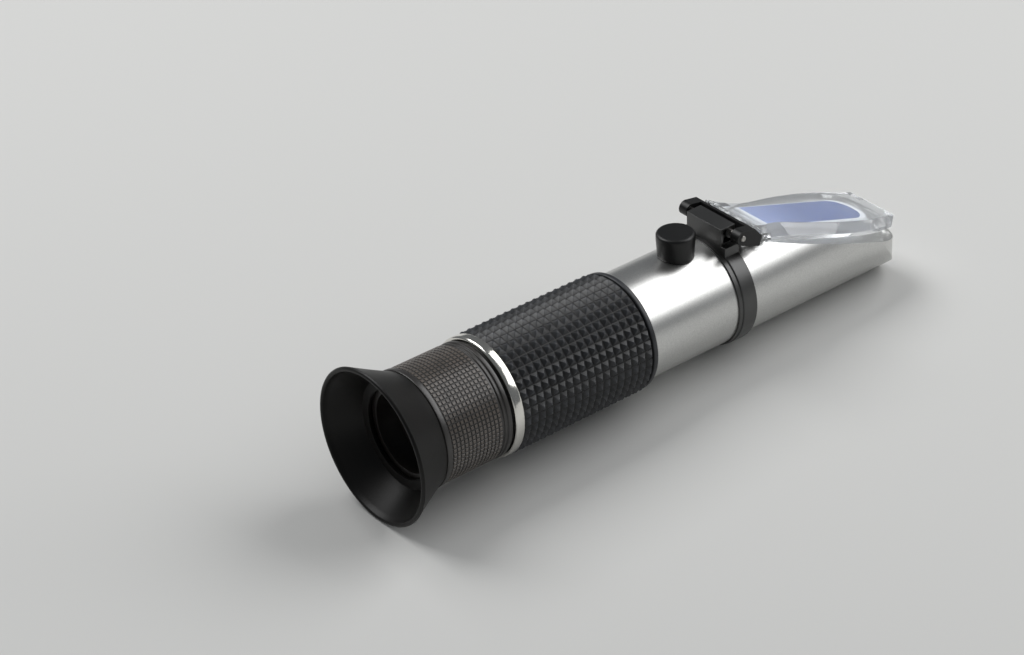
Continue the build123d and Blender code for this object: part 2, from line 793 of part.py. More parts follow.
# Lens cell: slides in the eyepiece tube, with two lugs that reach the focus ring's thread
eyecell_front = eyecell_middle + eyecell_length / 2
eyecell_rear = eyecell_middle - eyecell_length / 2
field_seat = eyecell_front - seat_wall
eye_seat = eyecell_rear + retainer_length
eye_clear = eyelens_radius - seat_step
with BuildPart() as lens_cell:
    with BuildSketch(Plane.XZ):
        ring_section(eyecell_rear, eyecell_front, eyelens_radius, eyetube_bore - slide_gap)
        ring_section(field_seat, eyecell_front, eyelens_radius - seat_step, eyelens_radius)
    revolve(axis=Axis.X)
    with BuildSketch(Plane.XZ):
        with Locations((eyecell_middle, 0)):
            Rectangle(lug_size, lug_size)
    extrude(amount=thread_radius - slide_gap, both=True)
    with BuildSketch(Plane.YZ.offset(eyecell_rear)):
        Circle(eyelens_radius)
    extrude(amount=field_seat - eyecell_rear, mode=Mode.SUBTRACT)
    with BuildSketch(Plane.YZ.offset(eyecell_rear)):
        Circle(thread_radius - slide_gap)
    extrude(amount=eyecell_length, mode=Mode.INTERSECT)
finish(lens_cell, "lens_cell")

with BuildPart() as field_lens:
    with BuildSketch(Plane.XZ):
        field_middle = field_seat - fieldlens_edge / 2
        make_face(
            lens_section(field_middle, eyelens_radius, eye_clear, fieldlens_edge, fieldlens_dome_height)
        )
    revolve(axis=Axis.X)
finish(field_lens, "field_lens")

with BuildPart() as eye_lens:
    with BuildSketch(Plane.XZ):
        eye_middle = eye_seat + eyelens_edge / 2
        make_face(
            lens_section(eye_middle, eyelens_radius, eye_clear, eyelens_edge, eyelens_dome_height)
        )
    revolve(axis=Axis.X)
finish(eye_lens, "eye_lens")

with BuildPart() as lens_spacer:
    with BuildSketch(Plane.XZ):
        ring_section(
            eye_seat + eyelens_edge,
            field_seat - fieldlens_edge,
            eyelens_radius - seat_step,
            eyelens_radius,
        )
    revolve(axis=Axis.X)
finish(lens_spacer, "lens_spacer")

with BuildPart() as lens_retainer:
    with BuildSketch(Plane.XZ):
        ring_section(eyecell_rear, eye_seat, eyelens_radius - seat_step, eyelens_radius)
    revolve(axis=Axis.X)
finish(lens_retainer, "lens_retainer")

# Rubber eyecup: a straight neck on the focus ring's spigot, then a flare to a rounded rim
neck_radius = rear_spigot_radius + cup_neck_wall
neck_rear = neck_front - cup_neck_length
floor_rear = ring_rear - cup_flange
with BuildPart() as eyecup:
    with BuildSketch(Plane.XZ):
        with BuildLine():
            outer_flare = SagittaArc((neck_rear, neck_radius), (rim_x, cup_rim_radius), cup_sag)
            rim_inner = (rim_x, cup_rim_radius - cup_rim_wall)
            SagittaArc(outer_flare @ 1, rim_inner, -cup_rim_wall / 2)
            floor_corner = (floor_rear, rear_spigot_radius)
            SagittaArc(rim_inner, floor_corner, -cup_sag)
            Polyline(
                floor_corner,
                (floor_rear, cup_hole),
                (ring_rear, cup_hole),
                (ring_rear, rear_spigot_radius),
                (neck_front, rear_spigot_radius),
                (neck_front, neck_radius - ring_chamfer),
                (neck_front - ring_chamfer, neck_radius),
                (neck_rear, neck_radius),
            )
        make_face()
    revolve(axis=Axis.X)
finish(eyecup, "eyecup")
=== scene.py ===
# %% [markdown]
# # A hand-held coolant refractometer
# The instrument is a satin chromed tube with a studded rubber grip, a knurled focus ring
# with a rubber eyecup at one end, and an oblique prism under a clear hinged plate at the
# other. The CAD pieces arrive as a fixed frame, in metres, and this script dresses them.

# %% Load the frame
import bpy
import math
from mathutils import Matrix, Vector


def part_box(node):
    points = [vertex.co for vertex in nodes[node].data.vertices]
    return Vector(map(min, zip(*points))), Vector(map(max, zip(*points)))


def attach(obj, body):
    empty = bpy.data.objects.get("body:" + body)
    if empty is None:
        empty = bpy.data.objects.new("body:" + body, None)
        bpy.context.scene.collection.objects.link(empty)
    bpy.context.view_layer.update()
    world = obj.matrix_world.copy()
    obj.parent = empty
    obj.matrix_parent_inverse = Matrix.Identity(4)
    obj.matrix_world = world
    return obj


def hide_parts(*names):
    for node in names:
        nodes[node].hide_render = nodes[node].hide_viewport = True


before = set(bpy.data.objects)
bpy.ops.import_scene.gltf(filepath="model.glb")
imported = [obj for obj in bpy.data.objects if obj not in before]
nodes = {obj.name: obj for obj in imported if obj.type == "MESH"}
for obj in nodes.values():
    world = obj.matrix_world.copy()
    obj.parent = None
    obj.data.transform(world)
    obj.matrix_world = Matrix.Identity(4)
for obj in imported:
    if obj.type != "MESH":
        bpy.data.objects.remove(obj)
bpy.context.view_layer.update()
print("pieces from CAD:", len(nodes))

# %% [markdown]
# ## The camera
# The photograph was taken from the eyecup's end, above and to the right of the grip, with
# a long lens. A camera looks along its own -Z, so its matrix has the picture's right, the
# picture's up and the reversed line of sight as its columns.

# %% Camera
camera_place = Vector((-0.3937, -0.4520, 0.3752))
sight = Vector((0.51714, 0.66874, -0.53418)).normalized()
picture_up = Vector((0.3602, 0.3961, 0.8446))
picture_right = sight.cross(picture_up).normalized()
picture_up = picture_right.cross(sight).normalized()
camera_data = bpy.data.cameras.new("camera")
camera_data.lens = 105.09
camera_data.sensor_width = 36.0
camera_data.clip_start = 0.01
print("camera's distance, m:", round(camera_place.length, 3))
camera = bpy.data.objects.new("camera", camera_data)
bpy.context.scene.collection.objects.link(camera)
camera.matrix_world = Matrix((
    (picture_right.x, picture_up.x, -sight.x, camera_place.x),
    (picture_right.y, picture_up.y, -sight.y, camera_place.y),
    (picture_right.z, picture_up.z, -sight.z, camera_place.z),
    (0, 0, 0, 1),
))
bpy.context.scene.camera = camera

# %% [markdown]
# ## Materials
# A real surface is named for what it is made of and how it was finished. Colours are
# written as sRGB hex, as a colour picker shows them, and one function turns them into the
# linear numbers that the shader needs. One more function adds a node, one starts a material
# and one puts it on CAD pieces. All patterns lie on Object coordinates, in metres, so a noise
# with a Scale of 1000 has cells of about 1 mm.

# %% Colour and node helpers
def colour(code):
    """Linear RGBA of an sRGB hex colour."""
    parts = [int(code[i:i + 2], 16) / 255 for i in (1, 3, 5)]
    return [c / 12.92 if c <= 0.04045 else ((c + 0.055) / 1.055) ** 2.4 for c in parts] + [1.0]


def add(tree, kind, links=(), **settings):
    """Adds a node. Settings are its own properties, or its inputs' values by name, with _ for
    a space, or by number after a _. Links are (output socket, this node's input)."""
    node = tree.nodes.new(kind)
    for name, value in settings.items():
        if name[0] == "_":
            node.inputs[int(name[1:])].default_value = value
        elif hasattr(node, name):
            setattr(node, name, value)
        else:
            node.inputs[name.replace("_", " ")].default_value = value
    for output, name in links:
        tree.links.new(output, node.inputs[name])
    return node


def new_material(name):
    """An empty material: its tree, its Principled shader and its Object coordinates."""
    material = bpy.data.materials.new(name)
    material.use_nodes = True
    tree = material.node_tree
    shader = tree.nodes["Principled BSDF"]
    place = tree.nodes.new("ShaderNodeTexCoord").outputs["Object"]
    return material, tree, shader, place


def dress(material, *names):
    """Gives CAD nodes their material."""
    for name in names:
        mesh = nodes[name].data
        mesh.materials.clear()
        mesh.materials.append(material)

# %% [markdown]
# ## Satin chrome
# The barrel and the prism head are satin chromed: blasted first, then plated. Chrome over a
# blasted metal mirrors the room with a soft blur and keeps a fine sparkle. The blasted grain
# is about 0.1 mm; it is drawn 0.3 mm wide, so that it shows. A slow noise varies the blur as
# handling does.

# %% Satin chrome
satin_chrome, tree, shader, place = new_material("satin_chrome_plating")
shader.inputs["Metallic"].default_value = 1.0
grain = add(tree, "ShaderNodeTexNoise", [(place, "Vector")], Scale=3300.0, Detail=2.0)
wear = add(tree, "ShaderNodeTexNoise", [(place, "Vector")], Scale=60.0, Detail=4.0)
blur = add(tree, "ShaderNodeMapRange", [(wear.outputs["Fac"], "Value")], To_Min=0.29, To_Max=0.37)
tree.links.new(blur.outputs["Result"], shader.inputs["Roughness"])
shine = add(tree, "ShaderNodeValToRGB", [(grain.outputs["Fac"], "Fac")])
shine.color_ramp.elements[0].position = 0.3
shine.color_ramp.elements[0].color = colour("#C6C6C4")
shine.color_ramp.elements[1].position = 0.7
shine.color_ramp.elements[1].color = colour("#D4D4D2")
tree.links.new(shine.outputs["Color"], shader.inputs["Base Color"])
bump = add(
    tree, "ShaderNodeBump", [(grain.outputs["Fac"], "Height")], Strength=0.04, Distance=0.0001
)
tree.links.new(bump.outputs["Normal"], shader.inputs["Normal"])
dress(satin_chrome, "main_tube", "prism_head")
print("nodes in the satin chrome:", len(tree.nodes))

# %% [markdown]
# ## Polished chrome
# The trim ring behind the grip is polished before it is plated. It mirrors the lamps sharply,
# and the polishing leaves it faintly wavy, which breaks each highlight up.

# %% Polished chrome
polished_chrome, tree, shader, place = new_material("polished_chrome_plating")
shader.inputs["Metallic"].default_value = 1.0
shader.inputs["Base Color"].default_value = colour("#E2E0DA")
ripple = add(tree, "ShaderNodeTexNoise", [(place, "Vector")], Scale=260.0, Detail=3.0)
blur = add(tree, "ShaderNodeMapRange", [(ripple.outputs["Fac"], "Value")], To_Min=0.1, To_Max=0.2)
tree.links.new(blur.outputs["Result"], shader.inputs["Roughness"])
bump = add(
    tree, "ShaderNodeBump", [(ripple.outputs["Fac"], "Height")], Strength=0.3, Distance=0.0003
)
tree.links.new(bump.outputs["Normal"], shader.inputs["Normal"])

# %% [markdown]
# ## Rubber and plastic
# A moulded black piece is never one flat black. Its skin is a little paler and duller in
# places, it has a fine grain from the mould, and its edges catch the light because no mould
# leaves them sharp. One function makes all of them: two tones mixed by a slow noise, a blur
# that follows it, a grain of a given size and edges rounded by a given radius.

# %% Moulded black pieces
def moulded_black(name, tones, blurs, grain_mm, depth, edge_mm, shine):
    """Black rubber, plastic or anodised metal: tones and blurs are (low, high) pairs."""
    material, tree, shader, place = new_material(name)
    cloud = add(tree, "ShaderNodeTexNoise", [(place, "Vector")], Scale=90.0, Detail=5.0)
    tone = add(tree, "ShaderNodeValToRGB", [(cloud.outputs["Fac"], "Fac")])
    for element, position, code in zip(tone.color_ramp.elements, (0.35, 0.65), tones):
        element.position = position
        element.color = colour(code)
    tree.links.new(tone.outputs["Color"], shader.inputs["Base Color"])
    blur = add(
        tree, "ShaderNodeMapRange", [(cloud.outputs["Fac"], "Value")],
        To_Min=blurs[0], To_Max=blurs[1],
    )
    tree.links.new(blur.outputs["Result"], shader.inputs["Roughness"])
    edge = add(tree, "ShaderNodeBevel", samples=4, Radius=edge_mm / 1000)
    grain = add(tree, "ShaderNodeTexNoise", [(place, "Vector")], Scale=1000 / grain_mm, Detail=3.0)
    bump = add(
        tree, "ShaderNodeBump",
        [(grain.outputs["Fac"], "Height"), (edge.outputs["Normal"], "Normal")],
        Strength=depth, Distance=0.0001,
    )
    tree.links.new(bump.outputs["Normal"], shader.inputs["Normal"])
    shader.inputs["IOR"].default_value = 1.5
    shader.inputs["Specular IOR Level"].default_value = shine
    return material


cup_rubber = moulded_black(
    "moulded_eyecup_rubber", ("#0B0A09", "#13110F"), (0.35, 0.47), 0.5, 0.15, 0.2, 0.25
)
cap_rubber = moulded_black(
    "moulded_cap_rubber", ("#0B0B0B", "#131313"), (0.3, 0.42), 0.4, 0.2, 0.6, 0.4
)
hinge_nylon = moulded_black(
    "moulded_hinge_nylon", ("#0C0C0C", "#151515"), (0.34, 0.5), 0.3, 0.25, 0.12, 0.35
)
collar_nylon = moulded_black(
    "moulded_collar_nylon", ("#151514", "#1F1F1E"), (0.3, 0.42), 0.3, 0.08, 0.15, 1.0
)
black_anodised = moulded_black(
    "black_anodised_aluminium", ("#1E1B19", "#2A2623"), (0.3, 0.42), 0.2, 0.1, 0.1, 0.8
)
dress(cap_rubber, "calibration_cap")
dress(hinge_nylon, "plate_yoke", "friction_washer")
dress(collar_nylon, "front_collar", "hinge_collar")
dress(
    black_anodised, "eyepiece_tube", "retaining_nut", "lens_cell", "lens_spacer",
    "lens_retainer", "cell_guide", "guide_cover", "objective_cell", "objective_retainer",
    "light_baffle", "reticle_ring",
)

# %% [markdown]
# ## Painted shade in the valleys, painted sheen on the tips
# The grip's studs and the knurl are painted dark in their valleys as painted shade and paler on
# their tips as a painted sheen, and their tips are made a little smoother. Both pieces are round
# about the X axis, so a point's distance from that axis says how high on a stud it lies, and that
# distance mixes the two tones.

# %% Painted shade and sheen
def painted_shade_and_sheen(name, valley_shade, tip_sheen, radii_mm, blurs, grain_mm, depth, shine):
    """Black surface whose tone follows the distance from the optical axis as painted shade in the
    valleys and painted sheen on the tips; its blur follows that distance too.
    """
    material, tree, shader, place = new_material(name)
    across = add(
        tree, "ShaderNodeVectorMath", [(place, 0)], operation="MULTIPLY", _1=(0, 1, 1)
    )
    radius = add(tree, "ShaderNodeVectorMath", [(across.outputs["Vector"], 0)], operation="LENGTH")
    height = add(
        tree, "ShaderNodeMapRange", [(radius.outputs["Value"], "Value")],
        From_Min=radii_mm[0] / 1000, From_Max=radii_mm[1] / 1000,
    )
    cloud = add(tree, "ShaderNodeTexNoise", [(place, "Vector")], Scale=300.0, Detail=4.0)
    uneven = add(
        tree, "ShaderNodeMath", [(height.outputs["Result"], 0), (cloud.outputs["Fac"], 1)],
        operation="MULTIPLY",
    )
    # The ramp paints shade in the valleys and a paler painted sheen on the tips.
    tone = add(tree, "ShaderNodeValToRGB", [(uneven.outputs["Value"], "Fac")])
    for element, position, code in zip(tone.color_ramp.elements, (0.05, 0.55), (valley_shade, tip_sheen)):
        element.position = position
        element.color = colour(code)
    tree.links.new(tone.outputs["Color"], shader.inputs["Base Color"])
    blur = add(
        tree, "ShaderNodeMapRange", [(height.outputs["Result"], "Value")],
        To_Min=blurs[0], To_Max=blurs[1],
    )
    tree.links.new(blur.outputs["Result"], shader.inputs["Roughness"])
    grain = add(tree, "ShaderNodeTexNoise", [(place, "Vector")], Scale=1000 / grain_mm, Detail=3.0)
    bump = add(
        tree, "ShaderNodeBump", [(grain.outputs["Fac"], "Height")], Strength=depth, Distance=0.0001
    )
    tree.links.new(bump.outputs["Normal"], shader.inputs["Normal"])
    shader.inputs["IOR"].default_value = 1.5
    shader.inputs["Specular IOR Level"].default_value = shine
    return material


# Both the grip and the knurl get painted shade in their valleys and a painted sheen on their tips.
grip_rubber = painted_shade_and_sheen(
    "moulded_grip_rubber", "#060607", "#36383C", (14.1, 15.0), (0.5, 0.34), 0.35, 0.25, 0.5
)
knurled_aluminium = painted_shade_and_sheen(
    "knurled_anodised_aluminium", "#1A1613", "#574F48", (14.14, 14.28), (0.5, 0.34), 0.2, 0.15, 0.8
)

# %% [markdown]
# ## Steel and brass
# The hinge pin and the two plate screws are turned stainless steel. The calibration screw and
# its bush are turned brass. A lathe leaves rings a few hundredths of a millimetre apart, which
# are too fine to see one by one, so a fine noise blurs the metal instead.

# %% Steel and brass
for name, code, pieces in (
    ("turned_stainless_steel", "#A8A6A2", ("hinge_pin", "plate_screws")),
    ("turned_brass", "#B8944A", ("screw_bush", "calibration_screw")),
):
    metal, tree, shader, place = new_material(name)
    shader.inputs["Metallic"].default_value = 1.0
    shader.inputs["Base Color"].default_value = colour(code)
    turning = add(tree, "ShaderNodeTexNoise", [(place, "Vector")], Scale=3000.0)
    blur = add(
        tree, "ShaderNodeMapRange", [(turning.outputs["Fac"], "Value")], To_Min=0.22, To_Max=0.4
    )
    tree.links.new(blur.outputs["Result"], shader.inputs["Roughness"])
    dress(metal, *pieces)

# %% [markdown]
# ## Lenses
# The lenses and the reticle's disc are plain polished glass. All that shows on such a surface
# is a faint uneven smear, so a slow noise blurs it by a few hundredths.

# %% Lenses
optical_glass, tree, shader, place = new_material("polished_optical_glass")
shader.inputs["Base Color"].default_value = colour("#D8E2EA")
shader.inputs["Transmission Weight"].default_value = 1.0
shader.inputs["IOR"].default_value = 1.62
smear = add(tree, "ShaderNodeTexNoise", [(place, "Vector")], Scale=120.0, Detail=4.0)
blur = add(tree, "ShaderNodeMapRange", [(smear.outputs["Fac"], "Value")], To_Min=0.0, To_Max=0.06)
tree.links.new(blur.outputs["Result"], shader.inputs["Roughness"])
dress(optical_glass, "objective_lens", "field_lens", "eye_lens", "reticle_disc")

# %% [markdown]
# ## The prism's window
# The prism's measuring face is polished and coated blue in the middle, and ground white
# round its edge. The border is drawn from real sizes: the face slopes by 18 degrees from its
# upper end, so a Mapping node moves that end to the origin and lays the face flat. After it,
# X is the way down the slope and Y the distance from the middle line, and how far a point is
# from the corner's centre says if it is in the window.

# %% Prism window
slope = math.radians(18.0)
face_start = Vector((0.0211, 0, 0.0133))
window_rear, window_front = 0.0088, 0.0433
window_half, window_corner = 0.0057, 0.005
soft_edge = 0.0001
coated_prism, tree, shader, place = new_material("coated_prism_glass")
flat = add(
    tree, "ShaderNodeMapping", [(place, "Vector")], vector_type="TEXTURE",
    Location=face_start, Rotation=(0, slope, 0),
)
folded = add(tree, "ShaderNodeVectorMath", [(flat.outputs["Vector"], 0)], operation="ABSOLUTE")
past = add(
    tree, "ShaderNodeVectorMath", [(folded.outputs["Vector"], 0)], operation="SUBTRACT",
    _1=(window_front - window_corner, window_half - window_corner, 0),
)
past_corner = add(
    tree, "ShaderNodeVectorMath", [(past.outputs["Vector"], 0)], operation="MAXIMUM", _1=(0, 0, 0)
)
on_face = add(
    tree, "ShaderNodeVectorMath", [(past_corner.outputs["Vector"], 0)], operation="MULTIPLY",
    _1=(1, 1, 0),
)
reach = add(tree, "ShaderNodeVectorMath", [(on_face.outputs["Vector"], 0)], operation="LENGTH")
inside = add(
    tree, "ShaderNodeMapRange", [(reach.outputs["Value"], "Value")],
    From_Min=window_corner + soft_edge, From_Max=window_corner - soft_edge,
)
parts = add(tree, "ShaderNodeSeparateXYZ", [(flat.outputs["Vector"], "Vector")])
down = parts.outputs["X"]
behind = add(
    tree, "ShaderNodeMapRange", [(down, "Value")],
    From_Min=window_rear - soft_edge, From_Max=window_rear + soft_edge,
)
window = add(
    tree, "ShaderNodeMath", [(inside.outputs["Result"], 0), (behind.outputs["Result"], 1)],
    operation="MULTIPLY",
).outputs["Value"]
# The blue is paler near the rear of the window and deeper further down the slope.
deepening_start, deepening_end = 0.009, 0.026
blue_deepening = add(
    tree, "ShaderNodeMapRange", [(down, "Value")], From_Min=deepening_start, From_Max=deepening_end
)
tint = add(tree, "ShaderNodeValToRGB", [(blue_deepening.outputs["Result"], "Fac")])
tint.color_ramp.elements[0].color = colour("#8496C8")
tint.color_ramp.elements[1].color = colour("#465E9C")
# A Mix node's colour inputs are its 6 and 7, and its output 2 is the mixed colour.
face = add(
    tree, "ShaderNodeMix", [(window, "Factor"), (tint.outputs["Color"], 7)], data_type="RGBA",
    _6=colour("#E4E7EA"),
)
tree.links.new(face.outputs[2], shader.inputs["Base Color"])
shader.inputs["Transmission Weight"].default_value = 0.1
shader.inputs["IOR"].default_value = 1.62
blur = add(tree, "ShaderNodeMapRange", [(window, "Value")], To_Min=0.5, To_Max=0.1)
tree.links.new(blur.outputs["Result"], shader.inputs["Roughness"])
dress(coated_prism, "measuring_prism")
print("window, mm:", round(1000 * (window_front - window_rear), 1), "x", 2000 * window_half)

# %% [markdown]
# ## Seal
# The prism is set in a pale silicone that is cast round it. Its surface is matt and slightly
# mottled, so one noise moves both its tone and its blur.

# %% Seal
sealing_bed, tree, shader, place = new_material("cast_silicone_seal")
mottle = add(tree, "ShaderNodeTexNoise", [(place, "Vector")], Scale=400.0, Detail=4.0)
blur = add(tree, "ShaderNodeMapRange", [(mottle.outputs["Fac"], "Value")], To_Min=0.45, To_Max=0.6)
tree.links.new(blur.outputs["Result"], shader.inputs["Roughness"])
pale = add(tree, "ShaderNodeValToRGB", [(mottle.outputs["Fac"], "Fac")])
pale.color_ramp.elements[0].color = colour("#D0D3D6")
pale.color_ramp.elements[1].color = colour("#ECEEF0")
tree.links.new(pale.outputs["Color"], shader.inputs["Base Color"])
dress(sealing_bed, "prism_gasket")

# %% [markdown]
# ## Daylight plate
# The plate is moulded clear acrylic, a little milky, with softly rounded edges. Clear plastic
# would throw a black shadow on the prism below it, because Cycles lets no lamp's light
# through a refracting surface. So a ray that asks for light passes straight through, and all
# other rays refract.

# %% Daylight plate
clear_acrylic, tree, shader, place = new_material("moulded_clear_acrylic")
shader.inputs["Base Color"].default_value = colour("#F4F6F8")
shader.inputs["Transmission Weight"].default_value = 0.92
shader.inputs["IOR"].default_value = 1.49
shader.inputs["Specular IOR Level"].default_value = 0.3
haze = add(tree, "ShaderNodeTexNoise", [(place, "Vector")], Scale=250.0, Detail=4.0)
blur = add(tree, "ShaderNodeMapRange", [(haze.outputs["Fac"], "Value")], To_Min=0.02, To_Max=0.08)
tree.links.new(blur.outputs["Result"], shader.inputs["Roughness"])
edge = add(tree, "ShaderNodeBevel", samples=4, Radius=0.0003)
bump = add(
    tree, "ShaderNodeBump", [(haze.outputs["Fac"], "Height"), (edge.outputs["Normal"], "Normal")],
    Strength=0.1, Distance=0.0002,
)
tree.links.new(bump.outputs["Normal"], shader.inputs["Normal"])
light_path = add(tree, "ShaderNodeLightPath")
see_through = add(tree, "ShaderNodeBsdfTransparent")
mix = add(tree, "ShaderNodeMixShader", [
    (light_path.outputs["Is Shadow Ray"], 0), (shader.outputs["BSDF"], 1),
    (see_through.outputs["BSDF"], 2),
])
tree.links.new(mix.outputs["Shader"], tree.nodes["Material Output"].inputs["Surface"])
dress(clear_acrylic, "daylight_plate")

# %% [markdown]
# ## Turned pieces
# The eyecup, the focus ring and the trim ring are round about the optical axis, so each is
# drawn as half a section and spun, as on a lathe. A single point is extruded from corner to
# corner of the outline, the last corner meets the first, and one full spin makes the closed
# solid. The corners are then bevelled, because no real edge is sharp.

# %% Lathe
same_place = 0.000002  # points nearer than 2 microns are one point


def turned(name, outline_mm, steps, bevel_mm):
    """A closed outline of (x, radius) corners, spun about the X axis."""
    bpy.ops.object.select_all(action="DESELECT")
    first_x, first_radius = outline_mm[0]
    start = (first_x / 1000, 0, first_radius / 1000)
    bpy.ops.mesh.primitive_plane_add(size=0.0001, location=start)
    piece = bpy.context.object
    piece.name = name
    bpy.ops.object.transform_apply(location=True, rotation=True, scale=True)
    bpy.ops.object.mode_set(mode="EDIT")
    bpy.ops.mesh.select_all(action="SELECT")
    bpy.ops.mesh.merge(type="CENTER")
    corners = list(outline_mm) + [outline_mm[0]]
    for (x_a, radius_a), (x_b, radius_b) in zip(corners, corners[1:]):
        move = ((x_b - x_a) / 1000, 0, (radius_b - radius_a) / 1000)
        bpy.ops.mesh.extrude_region_move(TRANSFORM_OT_translate={"value": move})
    bpy.ops.mesh.select_all(action="SELECT")
    bpy.ops.mesh.remove_doubles(threshold=same_place)
    bpy.ops.mesh.spin(steps=steps, angle=2 * math.pi, center=(0, 0, 0), axis=(1, 0, 0))
    bpy.ops.mesh.select_all(action="SELECT")
    bpy.ops.mesh.remove_doubles(threshold=same_place)
    bpy.ops.mesh.normals_make_consistent(inside=False)
    bpy.ops.object.mode_set(mode="OBJECT")
    if bevel_mm:
        rounding = piece.modifiers.new("rounding", "BEVEL")
        rounding.width = bevel_mm / 1000
        rounding.segments = 3
        rounding.limit_method = "ANGLE"
        rounding.angle_limit = math.radians(30)
        bpy.ops.object.modifier_apply(modifier="rounding")
        bpy.ops.object.mode_set(mode="EDIT")
        bpy.ops.mesh.select_all(action="SELECT")
        bpy.ops.mesh.remove_doubles(threshold=same_place)
        bpy.ops.object.mode_set(mode="OBJECT")
    bpy.ops.object.shade_smooth_by_angle(angle=math.radians(35))
    print(name, "faces:", len(piece.data.polygons))
    return piece


def finished(piece, material, body, slot, *replaced):
    """Material, body, slot (not used) and the CAD nodes that the piece stands for."""
    piece.data.materials.clear()
    piece.data.materials.append(material)
    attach(piece, body)
    if replaced:
        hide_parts(*replaced)

# %% [markdown]
# ## Eyecup
# A soft rubber cup: a flare that bends in a little from a straight cone, and a thick round
# rim. Inside, it narrows to a floor with a hole for the eyepiece. Its outline is worked out in
# steps: outwards along the flare, round the rim, and back along the inside. A power a little
# over 1 is what bends each side.

# %% Eyecup
flare_start, rim_middle, floor_place, spigot_end = -74.65, -84.7, -77.6, -76.75
flare_radius, rim_radius, rim_half, inner_radius = 14.25, 18.65, 0.6, 13.2
spigot_radius, hole_radius = 13.02, 11.0
outer_bend, inner_bend, curve_steps = 1.08, 1.1, 8
outline = [(flare_start, spigot_radius)]
for part in range(curve_steps + 1):
    along = part / curve_steps
    outline.append((
        flare_start + (rim_middle - flare_start) * along,
        flare_radius + (rim_radius + rim_half - flare_radius) * along ** outer_bend,
    ))
for part in range(1, curve_steps):
    turn = math.pi * part / curve_steps
    outline.append((
        rim_middle - rim_half * math.sin(turn), rim_radius + rim_half * math.cos(turn),
    ))
for part in range(curve_steps, -1, -1):
    along = part / curve_steps
    outline.append((
        floor_place + (rim_middle - floor_place) * along,
        inner_radius + (rim_radius - rim_half - inner_radius) * along ** inner_bend,
    ))
outline += [
    (floor_place, hole_radius), (spigot_end, hole_radius), (spigot_end, spigot_radius),
]
eyecup = turned("flared_eyecup", outline, 128, 0)
finished(eyecup, cup_rubber, "focus_ring", "black_rubber", "eyecup")

# %% [markdown]
# ## Focus ring
# The ring is aluminium, turned and anodised black. At its front end it has one wide and one
# narrow rib with grooves between them, and it reaches over the washer in the dark gap. Behind
# the knurl a plain band catches the light, and a spigot holds the eyecup.

# %% Focus ring
outline = [
    (-56.15, 13.7), (-56.15, 14.3), (-57.15, 14.3), (-57.3, 14.0), (-57.75, 14.0),
    (-57.85, 14.25), (-58.25, 14.25), (-58.35, 14.0), (-58.65, 14.0), (-58.85, 14.1),
    (-73.0, 14.1), (-73.2, 14.42), (-74.45, 14.48), (-74.6, 14.3), (-74.6, 13.0),
    (-76.7, 13.0), (-76.7, 12.2),
    (-73.9, 12.2), (-73.9, 11.75), (-60.4, 11.75), (-60.4, 11.05), (-57.4, 11.05),
    (-57.4, 13.7),
]
ring = turned("ribbed_focus_ring", outline, 128, 0.08)
finished(ring, black_anodised, "focus_ring", "black_anodised", "focus_ring")

# %% [markdown]
# ## Knurl
# The knurl is cut lengthwise and crosswise, which leaves small square studs 1.1 mm apart with
# a narrow groove all round each. One sleeve of plain faces is made as a cylinder, cut across
# into rows and given a wall. Then each outer face is inset by itself, and inset once more and
# raised, which leaves a square stud with sloping sides. The grip's studs are made the same
# way, only larger and pointed. They are modelled rather than bumped, so that their outline
# shows against the light.

# %% Studded sleeves
def studded_sleeve(name, ends_mm, floor_mm, counts, wall_mm, insets_mm):
    """Cylinder of faces about the X axis, each outer one inset and raised in turn; counts are
    (along, around), insets are (width, height) pairs."""
    rear, front = (end / 1000 for end in ends_mm)
    columns, rows = counts
    bpy.ops.object.select_all(action="DESELECT")
    bpy.ops.mesh.primitive_cylinder_add(
        vertices=rows, radius=floor_mm / 1000, depth=front - rear, end_fill_type="NOTHING",
        location=((front + rear) / 2, 0, 0), rotation=(0, math.pi / 2, 0),
    )
    sleeve = bpy.context.object
    sleeve.name = name
    bpy.ops.object.transform_apply(location=True, rotation=True, scale=True)
    bpy.ops.object.mode_set(mode="EDIT")
    for column in range(1, columns):
        bpy.ops.mesh.select_all(action="SELECT")
        cut = (rear + (front - rear) * column / columns, 0, 0)
        bpy.ops.mesh.bisect(plane_co=cut, plane_no=(1, 0, 0))
    bpy.ops.object.mode_set(mode="OBJECT")
    wall = sleeve.modifiers.new("wall", "SOLIDIFY")
    wall.thickness = wall_mm / 1000
    wall.offset = -1.0
    bpy.ops.object.modifier_apply(modifier="wall")
    for polygon in sleeve.data.polygons:
        outwards = Vector((0, polygon.center.y, polygon.center.z)).normalized()
        polygon.select = polygon.normal.dot(outwards) > 0.9
    bpy.ops.object.mode_set(mode="EDIT")
    for width, height in insets_mm:
        bpy.ops.mesh.inset(
            thickness=width / 1000, depth=height / 1000, use_individual=True, use_boundary=True
        )
    bpy.ops.object.mode_set(mode="OBJECT")
    print(name, "faces:", len(sleeve.data.polygons))
    return sleeve


knurl = studded_sleeve(
    "focus_knurl", (-72.95, -58.85), 14.13, (13, 78), 0.12, ((0.12, 0), (0.1, 0.17))
)
finished(knurl, knurled_aluminium, "focus_ring", "black_anodised")

# %% [markdown]
# ## Grip
# The grip is one moulded rubber sleeve: 38 rows of 18 pointed studs, a plain skin under them
# and a round bead at the front end. Its rear end butts against the trim ring. The studs'
# edges are rounded by 0.06 mm with a Bevel modifier, and then the skin is joined to them.

